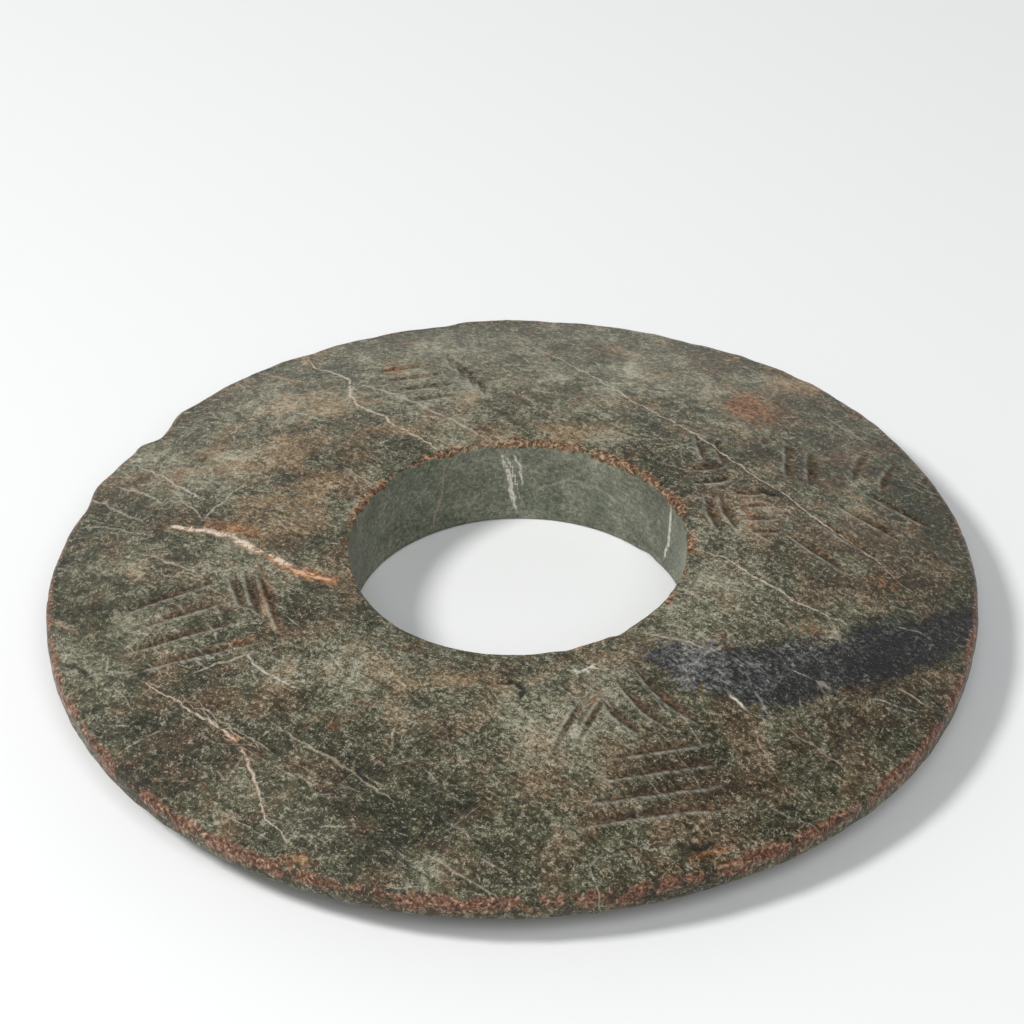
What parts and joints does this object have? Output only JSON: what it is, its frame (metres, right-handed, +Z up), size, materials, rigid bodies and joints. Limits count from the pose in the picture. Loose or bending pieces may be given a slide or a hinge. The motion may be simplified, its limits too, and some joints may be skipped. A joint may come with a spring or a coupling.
{
  "type": "jade bi disc",
  "caption": "Flat round disc of carved dark green stone with a large centre hole, thickest beside the hole and thin at its worn rim.",
  "frame": {"origin": "on the surface the disc lies on, under the middle of its outline", "axes": "+Z up through the disc, square to its faces; +X to the right and +Y away from the usual viewer"},
  "size_m": [0.2, 0.2003, 0.0211],
  "materials": {
    "jade": "satin, waxy on the high spots, matt in the worn and crusted places"
  },
  "bodies": {
    "root": {"bi_disc": "jade"}
  },
  "joints": []
}
